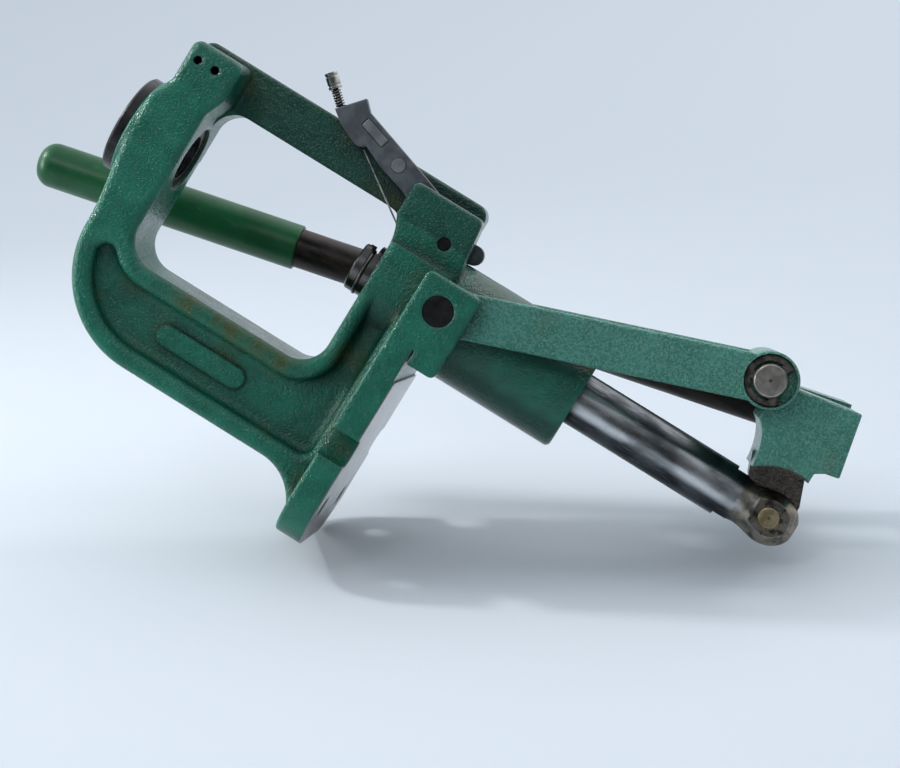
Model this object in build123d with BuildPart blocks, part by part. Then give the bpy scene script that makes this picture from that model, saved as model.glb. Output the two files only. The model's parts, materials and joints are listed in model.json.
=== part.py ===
"""Single-stage bench press: an O-frame casting, a toggle-driven ram, a side handle and a priming arm.

Origin: centre of the machined bench face. +Z is up along the ram, +X points to the operator, and
+Y is the operator's right, where the handle is. Sizes are millimetres. The profiles are drawn with
x measured from the ram's axis, and at() moves them into the part's frame.
"""
from build123d import *
import os
from math import acos, asin, atan2, cos, degrees, dist, radians, sin

os.makedirs("parts", exist_ok=True)

# ---- driving dimensions ----
ram_x = 76.0                 # ram axis, from the bench face's centre
deck_z = 36.6                # floor of the frame's window
beam_z = 137.8               # underside of the top beam
die_top_z = 166.0            # top of the die boss
body_half = 25.0             # half width of the column and beam
rear_x = -119.4              # rear edge of the flange, from the ram axis
window_rear_x = -51.0        # rear wall of the window
window_front_x = 29.5        # front wall of the window
window_r = 14.0              # corner radius of the window
column_rear_x = -95.6        # rear face of the heavy column
flange_t = 13.5
flange_half = 50.0
tube_r = 26.0
tube_end_z = -71.5
ram_r = 12.7
running_gap = 0.05           # radial clearance of every turning or sliding fit

# toggle linkage at rest, from the ram axis
a_pin = (2.9, 0.3)           # frame pivot of the links
b_pin = (53.0, -139.0)       # lower end of the links
c_pin = (0.0, -172.6)        # foot of the ram
pivot_pin_r, link_pin_r, ram_pin_r = 7.0, 7.7, 4.9
link_in, link_out = 27.0, 37.0   # inner and outer faces of a side link, either side of the middle
link_w = 21.0
block_half = 26.0            # half width of the toggle block's middle

# handle
handle_y = 61.0
handle_lean = 13.0           # degrees back from upright at rest
handle_x = 6.7               # where the handle's axis crosses the bench face's height
rod_r, grip_r = 9.525, 11.0
grip_from, grip_to = 84.2, 218.8   # along the rod from that crossing
rod_low, rod_high = -183.0, 211.0

# priming arm
arm_pivot = (28.5, 15.7)
arm_swing = 41.5             # degrees from rest to under the ram's axis
arm_half = 3.5
slot_half = 4.0
arm_pin_r = 3.1


def at(x, z):
    """A profile point, from ram-axis coordinates to the part's frame."""
    return (ram_x + x, z)


def at_all(points):
    return [at(x, z) for x, z in points]


def save(piece, label):
    piece.part.label = label
    export_step(piece.part, f"parts/{label}.step")


def side_plane(y):
    """Profile plane at a given Y: its x is +X, its y is +Z and it faces -Y."""
    return Plane.XZ.offset(-y)


# ---- frame casting ----
outer_r = 48.0               # rear top corner of the frame
outer_c = (column_rear_x + outer_r, 111.6)
flare_r = 23.0               # sweep from the column's back into the flange
flare_c = (column_rear_x - flare_r, flange_t + flare_r)
flare_turn = 78              # it stops just short of level, so that it has no knife edge
flare_end = (flare_c[0] + flare_r * cos(radians(flare_turn)),
             flare_c[1] - flare_r * sin(radians(flare_turn)))
crown_z = 164.9              # top of the beam beside the die boss
front_x = 26.0               # front end of the full-width part of the beam
lug_face = 21.0              # near face of the lug, from the middle
column_front_x, column_low_z, column_top_z = 51.8, 7.2, 161.0
window_front_r = 12.0
die_boss_r = 24.4
die_r = 15.875               # 1 1/4 in hole for the die bushing
corner_c = window_rear_x + window_r

# panel sunk into each side of the column, turning forward under the deck
panel_depth = 8.5
panel_rear_x = -86.0
panel_low_z = 18.0
panel_lip_z = 29.0           # underside of the deck's lip
panel_top_r = outer_c[0] - panel_rear_x
panel_inner_r = 23.1         # round the window's rear top corner
panel_tip_r = 4.6            # where the two arcs close, above the window's corner
panel_front_x = corner_c - panel_inner_r
panel_r, turn_r = 6.0, 20.0  # rear bottom corner, and the turn under the deck
inner_c = (corner_c, beam_z - window_r)
# the tip's circle touches the outer arc from inside and the inner arc from outside
arcs_apart = dist(outer_c, inner_c)
outer_reach, inner_reach = panel_top_r - panel_tip_r, panel_inner_r + panel_tip_r
outer_turn = degrees(atan2(inner_c[1] - outer_c[1], inner_c[0] - outer_c[0])
                     + acos((outer_reach ** 2 + arcs_apart ** 2 - inner_reach ** 2)
                            / (2 * outer_reach * arcs_apart)))
tip_c = (outer_c[0] + outer_reach * cos(radians(outer_turn)),
         outer_c[1] + outer_reach * sin(radians(outer_turn)))
inner_turn = degrees(atan2(tip_c[1] - inner_c[1], tip_c[0] - inner_c[0]))

boss_x, boss_low_z, boss_top_z = 49.6, 133.6, 159.3   # accessory boss at the beam's front end
split_y = 6.0                # the boss fills the beam's near side up to here
boss_hole_x, boss_hole_z, boss_hole_r = 41.0, (153.2, 144.2), 2.0
pad_c, pad_length, pad_w, pad_rise = (-73.0, 84.0), 46.0, 10.0, 2.0   # blank pad on the panel's floor
column_near_y, column_far_y = 5.0, 25.5                # front column
rib_x = -17.0                # front edge of the flange
ear_x, ear_w, ear_in = -3.5, 41.0, 38.0                # ears for the links' upper pins
notch_x, notch_y, notch_r = -71.0, 45.0, 6.8           # clamp notches
bolt_x, bolt_y, bolt_r = -100.0, 30.0, 5.25            # bench bolts
relief_x, relief_w, relief_depth = -25.6, 16.8, 1.0
slot_x, slot_length, slot_low = 36.8, 40.6, -14.0      # slot for the priming arm
through = 1.0                # how far a cutter stands past the faces that it opens

with BuildPart() as frame_casting:
    for near in (True, False):
        with BuildSketch(side_plane(-body_half if near else split_y)):
            with BuildLine():
                CenterArc(at(*flare_c), flare_r, -flare_turn, flare_turn)
                Line(at(column_rear_x, flare_c[1]), at(column_rear_x, outer_c[1]))
                CenterArc(at(*outer_c), outer_r, 180, -90)
                Spline(at(outer_c[0], outer_c[1] + outer_r), at(4, crown_z), tangents=[(1, 0), (1, 0)])
                if near:
                    FilletPolyline(*at_all([(4, crown_z), (17, crown_z), (28, boss_top_z),
                                            (boss_x, boss_top_z), (boss_x, boss_low_z),
                                            (31, boss_low_z), (22, beam_z), (corner_c, beam_z)]),
                                   radius=4.6)
                else:
                    Polyline(*at_all([(4, crown_z), (20, crown_z), (front_x, boss_top_z), (front_x, beam_z),
                                      (corner_c, beam_z)]))
                CenterArc(at(corner_c, beam_z - window_r), window_r, 90, 90)
                Line(at(window_rear_x, beam_z - window_r), at(window_rear_x, deck_z + window_r))
                CenterArc(at(corner_c, deck_z + window_r), window_r, 180, 90)
                Polyline(*at_all([(corner_c, deck_z), (front_x - 8, deck_z), (front_x - 8, 4), (-10, 0),
                                  (flare_end[0], 0), flare_end]))
            make_face()
        extrude(amount=-(split_y + body_half) if near else -(body_half - split_y))

    # sunk panels on both sides
    for side in (-1, 1):
        with BuildSketch(side_plane(side * (body_half - panel_depth))):
            with BuildLine():
                Line(at(panel_rear_x, panel_low_z + panel_r), at(panel_rear_x, outer_c[1]))
                CenterArc(at(*outer_c), panel_top_r, 180, outer_turn - 180)
                CenterArc(at(*tip_c), panel_tip_r, outer_turn, inner_turn - 180 - outer_turn)
                CenterArc(at(*inner_c), panel_inner_r, inner_turn, 180 - inner_turn)
                Line(at(panel_front_x, beam_z - window_r), at(panel_front_x, panel_lip_z + turn_r))
                CenterArc(at(panel_front_x + turn_r, panel_lip_z + turn_r), turn_r, 180, 90)
                Line(at(panel_front_x + turn_r, panel_lip_z), at(-14, panel_lip_z))
                ThreePointArc(at(-14, panel_lip_z), at(-8.5, (panel_lip_z + panel_low_z) / 2),
                              at(-14, panel_low_z))
                Line(at(-14, panel_low_z), at(panel_rear_x + panel_r, panel_low_z))
                CenterArc(at(panel_rear_x + panel_r, panel_low_z + panel_r), panel_r, 180, 90)
            make_face()
        extrude(amount=-side * (panel_depth + 1), mode=Mode.SUBTRACT)
    panel_floor = frame_casting.edges().filter_by(
        lambda e: abs(abs(e.center().Y) - (body_half - panel_depth)) < 0.01
        and e.bounding_box().size.Y < 0.01)
    fillet(panel_floor, 4.2)
    flat_edges = frame_casting.edges().filter_by(
        lambda e: abs(abs(e.center().Y) - body_half) < 0.01 and e.bounding_box().size.Y < 0.01)
    panel_rim = flat_edges.filter_by(
        lambda e: e.bounding_box().min.X > ram_x + panel_rear_x - 0.5
        and e.bounding_box().max.X < ram_x - 8 and e.bounding_box().min.Z > panel_low_z - 0.5
        and e.bounding_box().min.X < ram_x + window_rear_x - 0.1)
    fillet(panel_rim, 4.0)
    # the near outline is one chain, and the far one stops where the front column joins it
    outline = frame_casting.edges().filter_by(
        lambda e: abs(abs(e.center().Y) - body_half) < 0.01 and e.bounding_box().size.Y < 0.01
        and e.bounding_box().min.Z > flange_t + 0.4
        and (abs(e.bounding_box().min.X - ram_x - column_rear_x) < 0.1
             or e.bounding_box().max.X < ram_x + column_rear_x + 0.1
             or e.bounding_box().max.Z > outer_c[1] + outer_r - 0.1
             or (e.center().Y < 0 and e.center().X > ram_x + 19))
        and (e.center().Y < 0 or e.center().X < ram_x + 2))
    fillet(outline, 3.4)
    far_window = frame_casting.edges().filter_by(
        lambda e: abs(e.center().Y - body_half) < 0.01 and e.bounding_box().size.Y < 0.01
        and e.bounding_box().min.X > ram_x + window_rear_x - 0.1
        and e.bounding_box().max.X < ram_x + front_x + 0.1
        and e.bounding_box().min.Z > deck_z - 0.1 and e.bounding_box().max.Z < beam_z + 0.1)
    fillet(far_window, 3.4)

    # blank raised pad on each panel
    for side in (-1, 1):
        with BuildSketch(side_plane(side * (body_half - panel_depth - 1))):
            with Locations(at(*pad_c)):
                SlotOverall(pad_length, pad_w, rotation=90)
        extrude(amount=-side * (pad_rise + 1))

    # low ring boss under the die bushing
    with BuildSketch(Plane.XY.offset(beam_z + 2)):
        with Locations((ram_x, 0)):
            Circle(die_boss_r)
    extrude(amount=die_top_z - beam_z - 2)
    fillet(frame_casting.edges().filter_by(GeomType.CIRCLE).group_by(Axis.Z)[-1], 1.2)

    # front column, set back to the right-hand half
    front_in = window_front_x - window_front_r
    with BuildSketch(side_plane(column_near_y)):
        with BuildLine():
            Polyline(*at_all([(0, deck_z), (front_in, deck_z)]))
            CenterArc(at(front_in, deck_z + window_front_r), window_front_r, -90, 90)
            Line(at(window_front_x, deck_z + window_front_r), at(window_front_x, beam_z - window_front_r))
            CenterArc(at(front_in, beam_z - window_front_r), window_front_r, 0, 90)
            Polyline(*at_all([(front_in, beam_z), (0, beam_z), (0, column_top_z)]))
            FilletPolyline(*at_all([(0, column_top_z), (column_front_x, column_top_z),
                                    (column_front_x, column_low_z), (0, column_low_z)]), radius=6)
            Line(at(0, column_low_z), at(0, deck_z))
        make_face()
    extrude(amount=-(column_far_y - column_near_y))
    far_rim = frame_casting.edges().filter_by(
        lambda e: abs(e.center().Y - column_far_y) < 0.01 and e.bounding_box().size.Y < 0.01
        and e.center().X > ram_x + 28)
    fillet(far_rim, 2.2)
    near_rim = frame_casting.edges().filter_by(
        lambda e: abs(e.center().Y - column_near_y) < 0.01 and e.bounding_box().size.Y < 0.01
        and e.bounding_box().max.X > ram_x + column_front_x - 0.1)
    fillet(near_rim, 1.5)

    # near-side lug beside the priming arm's slot
    with BuildSketch(side_plane(-slot_half)):
        with BuildLine():
            Line(at(0, deck_z), at(14, deck_z))
            ThreePointArc(at(14, deck_z), at(22.5, 38.0), at(29.5, 41.4))
            FilletPolyline(*at_all([(29.5, 41.4), (46.6, 41.4), (46.6, 5.8), (27, 3.6), (12, 0)]),
                           radius=3.6)
            Polyline(*at_all([(12, 0), (0, 0), (0, deck_z)]))
        make_face()
    extrude(amount=lug_face - slot_half)
    lug_edges = frame_casting.edges().filter_by(
        lambda e: abs(e.center().Y + lug_face) < 0.01 and e.bounding_box().size.Y < 0.01
        and e.bounding_box().min.X > ram_x + 26.5)
    fillet(lug_edges, 1.8)

    # guide tube
    with BuildSketch(Plane.XY.offset(tube_end_z)):
        with Locations((ram_x, 0)):
            Circle(tube_r)
    extrude(amount=deck_z - tube_end_z - 0.5)
    mouth = frame_casting.edges().filter_by(GeomType.CIRCLE).group_by(Axis.Z)[0]
    fillet(mouth, 2.5)

    # bench flange with rounded rear corners
    with BuildSketch(Plane.XY):
        with BuildLine():
            Polyline((ram_x + rib_x, -flange_half), (ram_x + rib_x, flange_half),
                     (ram_x + rear_x, flange_half), (ram_x + rear_x, -flange_half),
                     (ram_x + rib_x, -flange_half))
        make_face()
        rear_corners = vertices().group_by(Axis.X)[0]
        fillet(rear_corners, 22)
    extrude(amount=flange_t)
    # the ears that hold the links' upper pins
    for side in (-1, 1):
        with BuildSketch(side_plane(side * ear_in)):
            with Locations(at(ear_x, 0)):
                RectangleRounded(ear_w, 2 * flange_t, 3)
        extrude(amount=-side * (flange_half - ear_in))
    top_rim = frame_casting.edges().filter_by(
        lambda e: abs(e.center().Z - flange_t) < 0.01 and abs(e.center().Y) > flange_half - 14
        and e.center().X < ram_x - 24)
    fillet(top_rim, 1.6)

    # side notches for slotted clamps
    with BuildSketch(Plane.XY.offset(-through)):
        for side in (-1, 1):
            with Locations((ram_x + notch_x, side * notch_y)):
                Circle(notch_r)
            with Locations((ram_x + notch_x, side * flange_half)):
                Rectangle(2 * notch_r, 2 * (flange_half - notch_y))
    extrude(amount=flange_t + 2, mode=Mode.SUBTRACT)

    # relief in front of the machined face
    with BuildSketch(Plane.XY.offset(-0.01)):
        with Locations((ram_x + relief_x, 0)):
            Rectangle(relief_w, 2 * flange_half + 2)
    extrude(amount=relief_depth, mode=Mode.SUBTRACT)

    # slot for the priming arm, open above and below
    with BuildSketch(Plane.XY.offset(slot_low)):
        with Locations((ram_x + slot_x, 0)):
            Rectangle(slot_length, 2 * slot_half)
    extrude(amount=60, mode=Mode.SUBTRACT)

    # bores and holes
    with BuildSketch(Plane.XY.offset(tube_end_z - through)):
        with Locations((ram_x, 0)):
            Circle(ram_r + running_gap)
    extrude(amount=deck_z - tube_end_z + 5, mode=Mode.SUBTRACT)
    with BuildSketch(Plane.XY.offset(beam_z - through)):
        with Locations((ram_x, 0)):
            Circle(die_r)
    extrude(amount=die_top_z - beam_z + 5, mode=Mode.SUBTRACT)
    with BuildSketch(Plane.XY.offset(-through)):
        with Locations((ram_x + bolt_x, -bolt_y), (ram_x + bolt_x, bolt_y)):
            Circle(bolt_r)
    extrude(amount=flange_t + 3, mode=Mode.SUBTRACT)
    for side in (-1, 1):
        with BuildSketch(side_plane(side * (flange_half + through))):
            with Locations(at(*a_pin)):
                Circle(pivot_pin_r)
        extrude(amount=side * (flange_half - ear_in + 2 * through), mode=Mode.SUBTRACT)
    with BuildSketch(side_plane(-22)):
        with Locations(at(*arm_pivot)):
            Circle(arm_pin_r)
    extrude(amount=-40, mode=Mode.SUBTRACT)
    with BuildSketch(side_plane(-body_half - 2)):
        with Locations([at(boss_hole_x, z) for z in boss_hole_z]):
            Circle(boss_hole_r)
    extrude(amount=-15, mode=Mode.SUBTRACT)
save(frame_casting, "frame_casting")

# ---- die bushing: a round flange on a threaded sleeve ----
bushing_r, bushing_flange_t, die_bore_r = 23.5, 5.0, 11.1

with BuildPart() as die_bushing:
    with BuildSketch(Plane.XY.offset(beam_z + 1.5)):
        with Locations((ram_x, 0)):
            Circle(die_r)
    extrude(amount=die_top_z - beam_z - 1.5)
    with BuildSketch(Plane.XY.offset(die_top_z)):
        with Locations((ram_x, 0)):
            Circle(bushing_r)
    extrude(amount=bushing_flange_t)
    chamfer(die_bushing.edges().filter_by(GeomType.CIRCLE).group_by(Axis.Z)[-1], 1.0)
    with BuildSketch(Plane.XY.offset(beam_z)):
        with Locations((ram_x, 0)):
            Circle(die_bore_r)
    extrude(amount=40, mode=Mode.SUBTRACT)
save(die_bushing, "die_bushing")

# ---- pins of the two ears ----
pivot_pin_in, pivot_pin_length = 37.6, 12.2
for side, name in ((-1, "left_pivot_pin"), (1, "right_pivot_pin")):
    with BuildPart() as pivot_pin:
        with BuildSketch(side_plane(side * pivot_pin_in)):
            with Locations(at(*a_pin)):
                Circle(pivot_pin_r)
        extrude(amount=-side * pivot_pin_length)
        chamfer(pivot_pin.edges().filter_by(GeomType.CIRCLE), 0.5)
    save(pivot_pin, name)

# ---- ram ----
ram_top_z, ram_foot_z = 47.0, -185.8
clevis_top_z, clevis_half = -150.0, 6.6
clip_z, clip_r, clip_wire_r = 41.9, 12.7, 0.75
neck_z = -156.0              # the ground shaft ends here, above the foot's bulge
slot_low_z, slot_top_z = -50.0, 21.0   # room for the priming arm when the ram is up
slot_rear_x, cup_way_r = -6.5, 3.4     # back of that slot, and the way up it for the cup
ram_pin_half = 11.6          # half length of the foot's pin
holder_x, holder_mouth = -3.5, 20.0    # shell-holder slot: its round end, and its straight length
spring_end = 55              # degrees: where the wire clip starts, from the front

with BuildPart() as ram:
    with BuildSketch(Plane.XZ):
        with BuildLine():
            Polyline(*at_all([(0, ram_foot_z), (0, ram_top_z), (ram_r - 0.8, ram_top_z),
                              (ram_r, ram_top_z - 0.8), (ram_r, neck_z)]))
            Spline(*at_all([(ram_r, neck_z), (12.4, -163), (14.0, -172), (12.3, -180.6),
                            (7.8, ram_foot_z)]))
            Line(at(7.8, ram_foot_z), at(0, ram_foot_z))
        make_face()
    revolve(axis=Axis((ram_x, 0, 0), (0, 0, 1)))
    # slot up the front that the priming arm swings into, and the way up from it for its cup
    with BuildSketch(Plane.YZ.offset(ram_x + slot_rear_x)):
        with Locations((0, (slot_low_z + slot_top_z) / 2)):
            SlotOverall(slot_top_z - slot_low_z, 2 * slot_half, rotation=90)
    extrude(amount=30, mode=Mode.SUBTRACT)
    with BuildSketch(Plane.XY.offset(slot_top_z - 6)):
        with Locations((ram_x, 0)):
            Circle(cup_way_r)
    extrude(amount=30, mode=Mode.SUBTRACT)
    # clevis slot, open to the front and the foot
    with BuildSketch(Plane.XY.offset(ram_foot_z - 1)):
        with Locations((ram_x, 0)):
            Rectangle(40, 2 * clevis_half)
    extrude(amount=clevis_top_z - ram_foot_z + 1, mode=Mode.SUBTRACT)
    # flats beside the pin
    for side in (-1, 1):
        with BuildSketch(Plane.XY.offset(ram_foot_z - 1)):
            with Locations((ram_x, side * 16.4)):
                Rectangle(40, 10)
        extrude(amount=22, mode=Mode.SUBTRACT)
    with BuildSketch(side_plane(-20)):
        with Locations(at(*c_pin)):
            Circle(ram_pin_r)
    extrude(amount=-40, mode=Mode.SUBTRACT)
    # shell-holder slot: a wide groove under a narrower neck, open to the operator
    for half, low, high in ((9.3, 40.2, 43.6), (7.2, 43.6, 48.0)):
        with BuildSketch(Plane.XY.offset(low)):
            with Locations((ram_x + holder_x + holder_mouth / 2, 0)):
                Rectangle(holder_mouth, 2 * half)
            with Locations((ram_x + holder_x, 0)):
                Circle(half * 0.82)
        extrude(amount=high - low, mode=Mode.SUBTRACT)
    # groove for the wire clip
    with BuildSketch(Plane.XY.offset(clip_z - 0.9)):
        with Locations((ram_x, 0)):
            Circle(14)
            Circle(11.9, mode=Mode.SUBTRACT)
    extrude(amount=1.8, mode=Mode.SUBTRACT)
save(ram, "ram")

with BuildPart() as ram_pin:
    with BuildSketch(side_plane(-ram_pin_half)):
        with Locations(at(*c_pin)):
            Circle(ram_pin_r)
    extrude(amount=-2 * ram_pin_half)
    chamfer(ram_pin.edges().filter_by(GeomType.CIRCLE), 0.4)
save(ram_pin, "ram_pin")

# ---- wire clip round the ram's head ----
with BuildPart() as shell_holder_spring:
    with BuildLine():
        CenterArc((ram_x, 0, clip_z), clip_r, spring_end, 360 - 2 * spring_end)
    end_cos, end_sin = cos(radians(spring_end)), sin(radians(spring_end))
    with BuildSketch(Plane((ram_x + clip_r * end_cos, clip_r * end_sin, clip_z),
                           x_dir=(0, 0, 1), z_dir=(-end_sin, end_cos, 0))):
        Circle(clip_wire_r)
    sweep()
save(shell_holder_spring, "shell_holder_spring")

# ---- handle axis and the toggle block ----
lean_cos, lean_sin = cos(radians(handle_lean)), sin(radians(handle_lean))
handle_plane = Plane((ram_x + handle_x, handle_y, 0), x_dir=(lean_cos, 0, lean_sin),
                     z_dir=(-lean_sin, 0, lean_cos))
eye_r = 13.0
rod_end_margin = 4.0         # metal of the crossbar below the rod
screw_r, cross_end_y = 4.0, handle_y + 14.5
tongue_half = 6.2
cross_c, cross_w, cross_h = (44.6, -170.2), 31.0, 29.0
screw_c = (44.6, -168.0)
stop_gap = 11.6              # room below the link's axis when the stroke is full
link_length = dist(a_pin, b_pin)
crank_length = dist(b_pin, c_pin)
# at full stroke the block's two pins are in line with the links' upper pin
crank_rest = degrees(atan2(b_pin[0], b_pin[1] - c_pin[1]))
line_lean = degrees(asin(a_pin[0] / (link_length - crank_length)))
full_turn = 180 + line_lean - crank_rest

with BuildPart() as toggle_block:
    # middle
    with BuildSketch(side_plane(0)):
        with BuildLine():
            ThreePointArc(at(16.3, -152.8), at(22.2, -163.5), at(23.0, -177.8))
            FilletPolyline(*at_all([(23.0, -177.8), (28.0, -177.8), (30.5, -181.8), (31.9, -188.3),
                                    (61.4, -181.8), (55.6, -149.0), (44, -144)]), radius=1.0)
            Line(at(44, -144), at(36.2, -144))
            Spline(*at_all([(36.2, -144), (32.3, -148.0), (27.0, -150.6), (22.2, -152.0),
                            (16.3, -152.8)]))
        make_face()
        with Locations(at(*b_pin)):
            Circle(eye_r)
    extrude(amount=block_half, both=True)
    # crossbar out to the handle
    with BuildSketch(Plane.XZ.offset(-block_half + 1)):
        with Locations(at(*cross_c)):
            Rectangle(cross_w, cross_h, rotation=handle_lean)
    extrude(amount=-(cross_end_y - block_half + 1))
    # upper rear corner of the crossbar cut back, so that it clears the link at full stroke
    link_turn = radians(90 - line_lean + full_turn)
    clear_plane = Plane((ram_x + b_pin[0], 0, b_pin[1]), x_dir=(cos(link_turn), 0, sin(link_turn)),
                        z_dir=(0, -1, 0))
    with BuildSketch(clear_plane.offset(-block_half)):
        with Locations((14, stop_gap - 20)):
            Rectangle(90, 40)
    extrude(amount=-60, mode=Mode.SUBTRACT)
    casting_edges = toggle_block.edges().filter_by(
        lambda e: abs(e.center().Y + block_half) < 0.01)
    chamfer(casting_edges, 0.8)
    fillet(toggle_block.edges().group_by(Axis.Y)[-1], 0.8)
    # tongue between the clevis's ears
    with BuildSketch(side_plane(0)):
        with BuildLine():
            Polyline(*at_all([(3, -162.0), (12.5, -154.6), (22, -150.8), (27, -156), (27, -176),
                              (11.3, -182.2), (3, -182.6), (3, -162.0)]))
        make_face()
        with Locations(at(*c_pin)):
            Circle(11.2)
    extrude(amount=tongue_half, both=True)
    # bores
    with BuildSketch(side_plane(-40)):
        with Locations(at(*c_pin)):
            Circle(ram_pin_r + running_gap)
        with Locations(at(*b_pin)):
            Circle(link_pin_r)
    extrude(amount=-80, mode=Mode.SUBTRACT)
    with BuildSketch(handle_plane.offset(rod_low + rod_end_margin)):
        Circle(rod_r)
    extrude(amount=80, mode=Mode.SUBTRACT)
    with BuildSketch(side_plane(handle_y + 20)):
        with Locations(at(*screw_c)):
            Circle(screw_r)
    extrude(amount=20, mode=Mode.SUBTRACT)
save(toggle_block, "toggle_block")

with BuildPart() as handle_set_screw:
    with BuildSketch(side_plane(handle_y + rod_r + 0.2)):
        with Locations(at(*screw_c)):
            Circle(screw_r)
            RegularPolygon(2.3, 6, mode=Mode.SUBTRACT)
    extrude(amount=-4.5)
save(handle_set_screw, "handle_set_screw")

with BuildPart() as handle_rod:
    with BuildSketch(handle_plane.offset(rod_low + rod_end_margin)):
        Circle(rod_r)
    extrude(amount=rod_high - rod_low - rod_end_margin)
    chamfer(handle_rod.edges().filter_by(GeomType.CIRCLE), 1.0)
save(handle_rod, "handle_rod")

with BuildPart() as handle_grip:
    with BuildSketch(handle_plane.offset(grip_from)):
        Circle(grip_r)
    extrude(amount=grip_to - grip_from)
    grip_ends = handle_grip.edges().filter_by(GeomType.CIRCLE).sort_by(Axis.Z)
    fillet(grip_ends[-1], 8.0)
    fillet(grip_ends[0], 0.8)
    with BuildSketch(handle_plane.offset(grip_from - 1)):
        Circle(rod_r)
    extrude(amount=rod_high - grip_from + 1, mode=Mode.SUBTRACT)
save(handle_grip, "handle_grip")

# ---- side links, their pin, washers and snap rings ----
link_angle = degrees(atan2(b_pin[1] - a_pin[1], b_pin[0] - a_pin[0]))
recess_r, recess_floor = 11.8, 33.8
ring_out, ring_in = 11.3, 8.9
ring_gap_at, ring_gap = -81, 95      # degrees: the middle and the width of the ring's opening
washer_r, washer_t, ring_t = 12.0, 0.7, 1.4
link_pin_half = 36.4

for side, hand in ((-1, "left"), (1, "right")):
    with BuildPart() as link:
        with BuildSketch(side_plane(side * link_in)):
            middle = ((a_pin[0] + b_pin[0]) / 2, (a_pin[1] + b_pin[1]) / 2)
            with Locations(at(*middle)):
                SlotCenterToCenter(link_length, link_w, rotation=link_angle)
            with Locations(at(*b_pin)):
                Circle(eye_r)
        extrude(amount=-side * (link_out - link_in))
        rims = link.edges().filter_by(lambda e: e.bounding_box().size.Y < 0.01)
        fillet(rims, 1.2)
        with BuildSketch(side_plane(side * (link_in - 1))):
            with Locations(at(*a_pin)):
                Circle(pivot_pin_r + running_gap)
            with Locations(at(*b_pin)):
                Circle(link_pin_r + running_gap)
        extrude(amount=-side * 12, mode=Mode.SUBTRACT)
        with BuildSketch(side_plane(side * recess_floor)):
            with Locations(at(*b_pin)):
                Circle(recess_r)
        extrude(amount=-side * 5, mode=Mode.SUBTRACT)
    save(link, f"{hand}_link")

    with BuildPart() as washer:
        with BuildSketch(side_plane(side * block_half)):
            with Locations(at(*b_pin)):
                Circle(washer_r)
                Circle(link_pin_r, mode=Mode.SUBTRACT)
        extrude(amount=-side * washer_t)
    save(washer, f"{hand}_washer")

    with BuildPart() as snap_ring:
        with BuildSketch(side_plane(side * (recess_floor + 0.3))):
            with Locations(at(*b_pin)):
                Circle(ring_out)
                Circle(ring_in, mode=Mode.SUBTRACT)
                # three short lugs reach in to the pin
                with PolarLocations((ring_in + link_pin_r) / 2, 3, start_angle=ring_gap_at + 60):
                    Rectangle(ring_in - link_pin_r + 1.0, 3.6)
                Circle(link_pin_r, mode=Mode.SUBTRACT)
            middle_x, middle_z = at(*b_pin)
            gap_sides = [radians(ring_gap_at - ring_gap / 2), radians(ring_gap_at + ring_gap / 2)]
            with BuildLine():
                Polyline((middle_x, middle_z),
                         *[(middle_x + 20 * cos(turn), middle_z + 20 * sin(turn)) for turn in gap_sides],
                         (middle_x, middle_z))
            make_face(mode=Mode.SUBTRACT)
        extrude(amount=-side * ring_t)
    save(snap_ring, f"{hand}_snap_ring")

with BuildPart() as link_pin:
    with BuildSketch(side_plane(-link_pin_half)):
        with Locations(at(*b_pin)):
            Circle(link_pin_r)
    extrude(amount=-2 * link_pin_half)
    chamfer(link_pin.edges().filter_by(GeomType.CIRCLE), 0.8)
save(link_pin, "link_pin")

# ---- priming arm, drawn on a plane that is upright when the arm is under the ram's axis ----
swing = radians(arm_swing)
arm_plane = Plane((ram_x + arm_pivot[0], 0, arm_pivot[1]), x_dir=(cos(swing), 0, -sin(swing)),
                  z_dir=(0, -1, 0))
cup_plane = Plane((ram_x + arm_pivot[0] * (1 - cos(swing)), 0, arm_pivot[1] + arm_pivot[0] * sin(swing)),
                  x_dir=(cos(swing), 0, -sin(swing)), z_dir=(sin(swing), 0, cos(swing)))
head_top = 74.6              # height of the arm's head above its pivot
plug_r, sleeve_r, coil_r = 1.3, 3.1, 2.3
sleeve_low, sleeve_high = 83.4, 91.0
label_c, label_lean = (-16.7, 58.6), 25      # blank panel on the arm's sides
plug_root = head_top - 12    # foot of the plug, inside the arm
arm_pin_from, arm_pin_length = -20.3, 36.0

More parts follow.
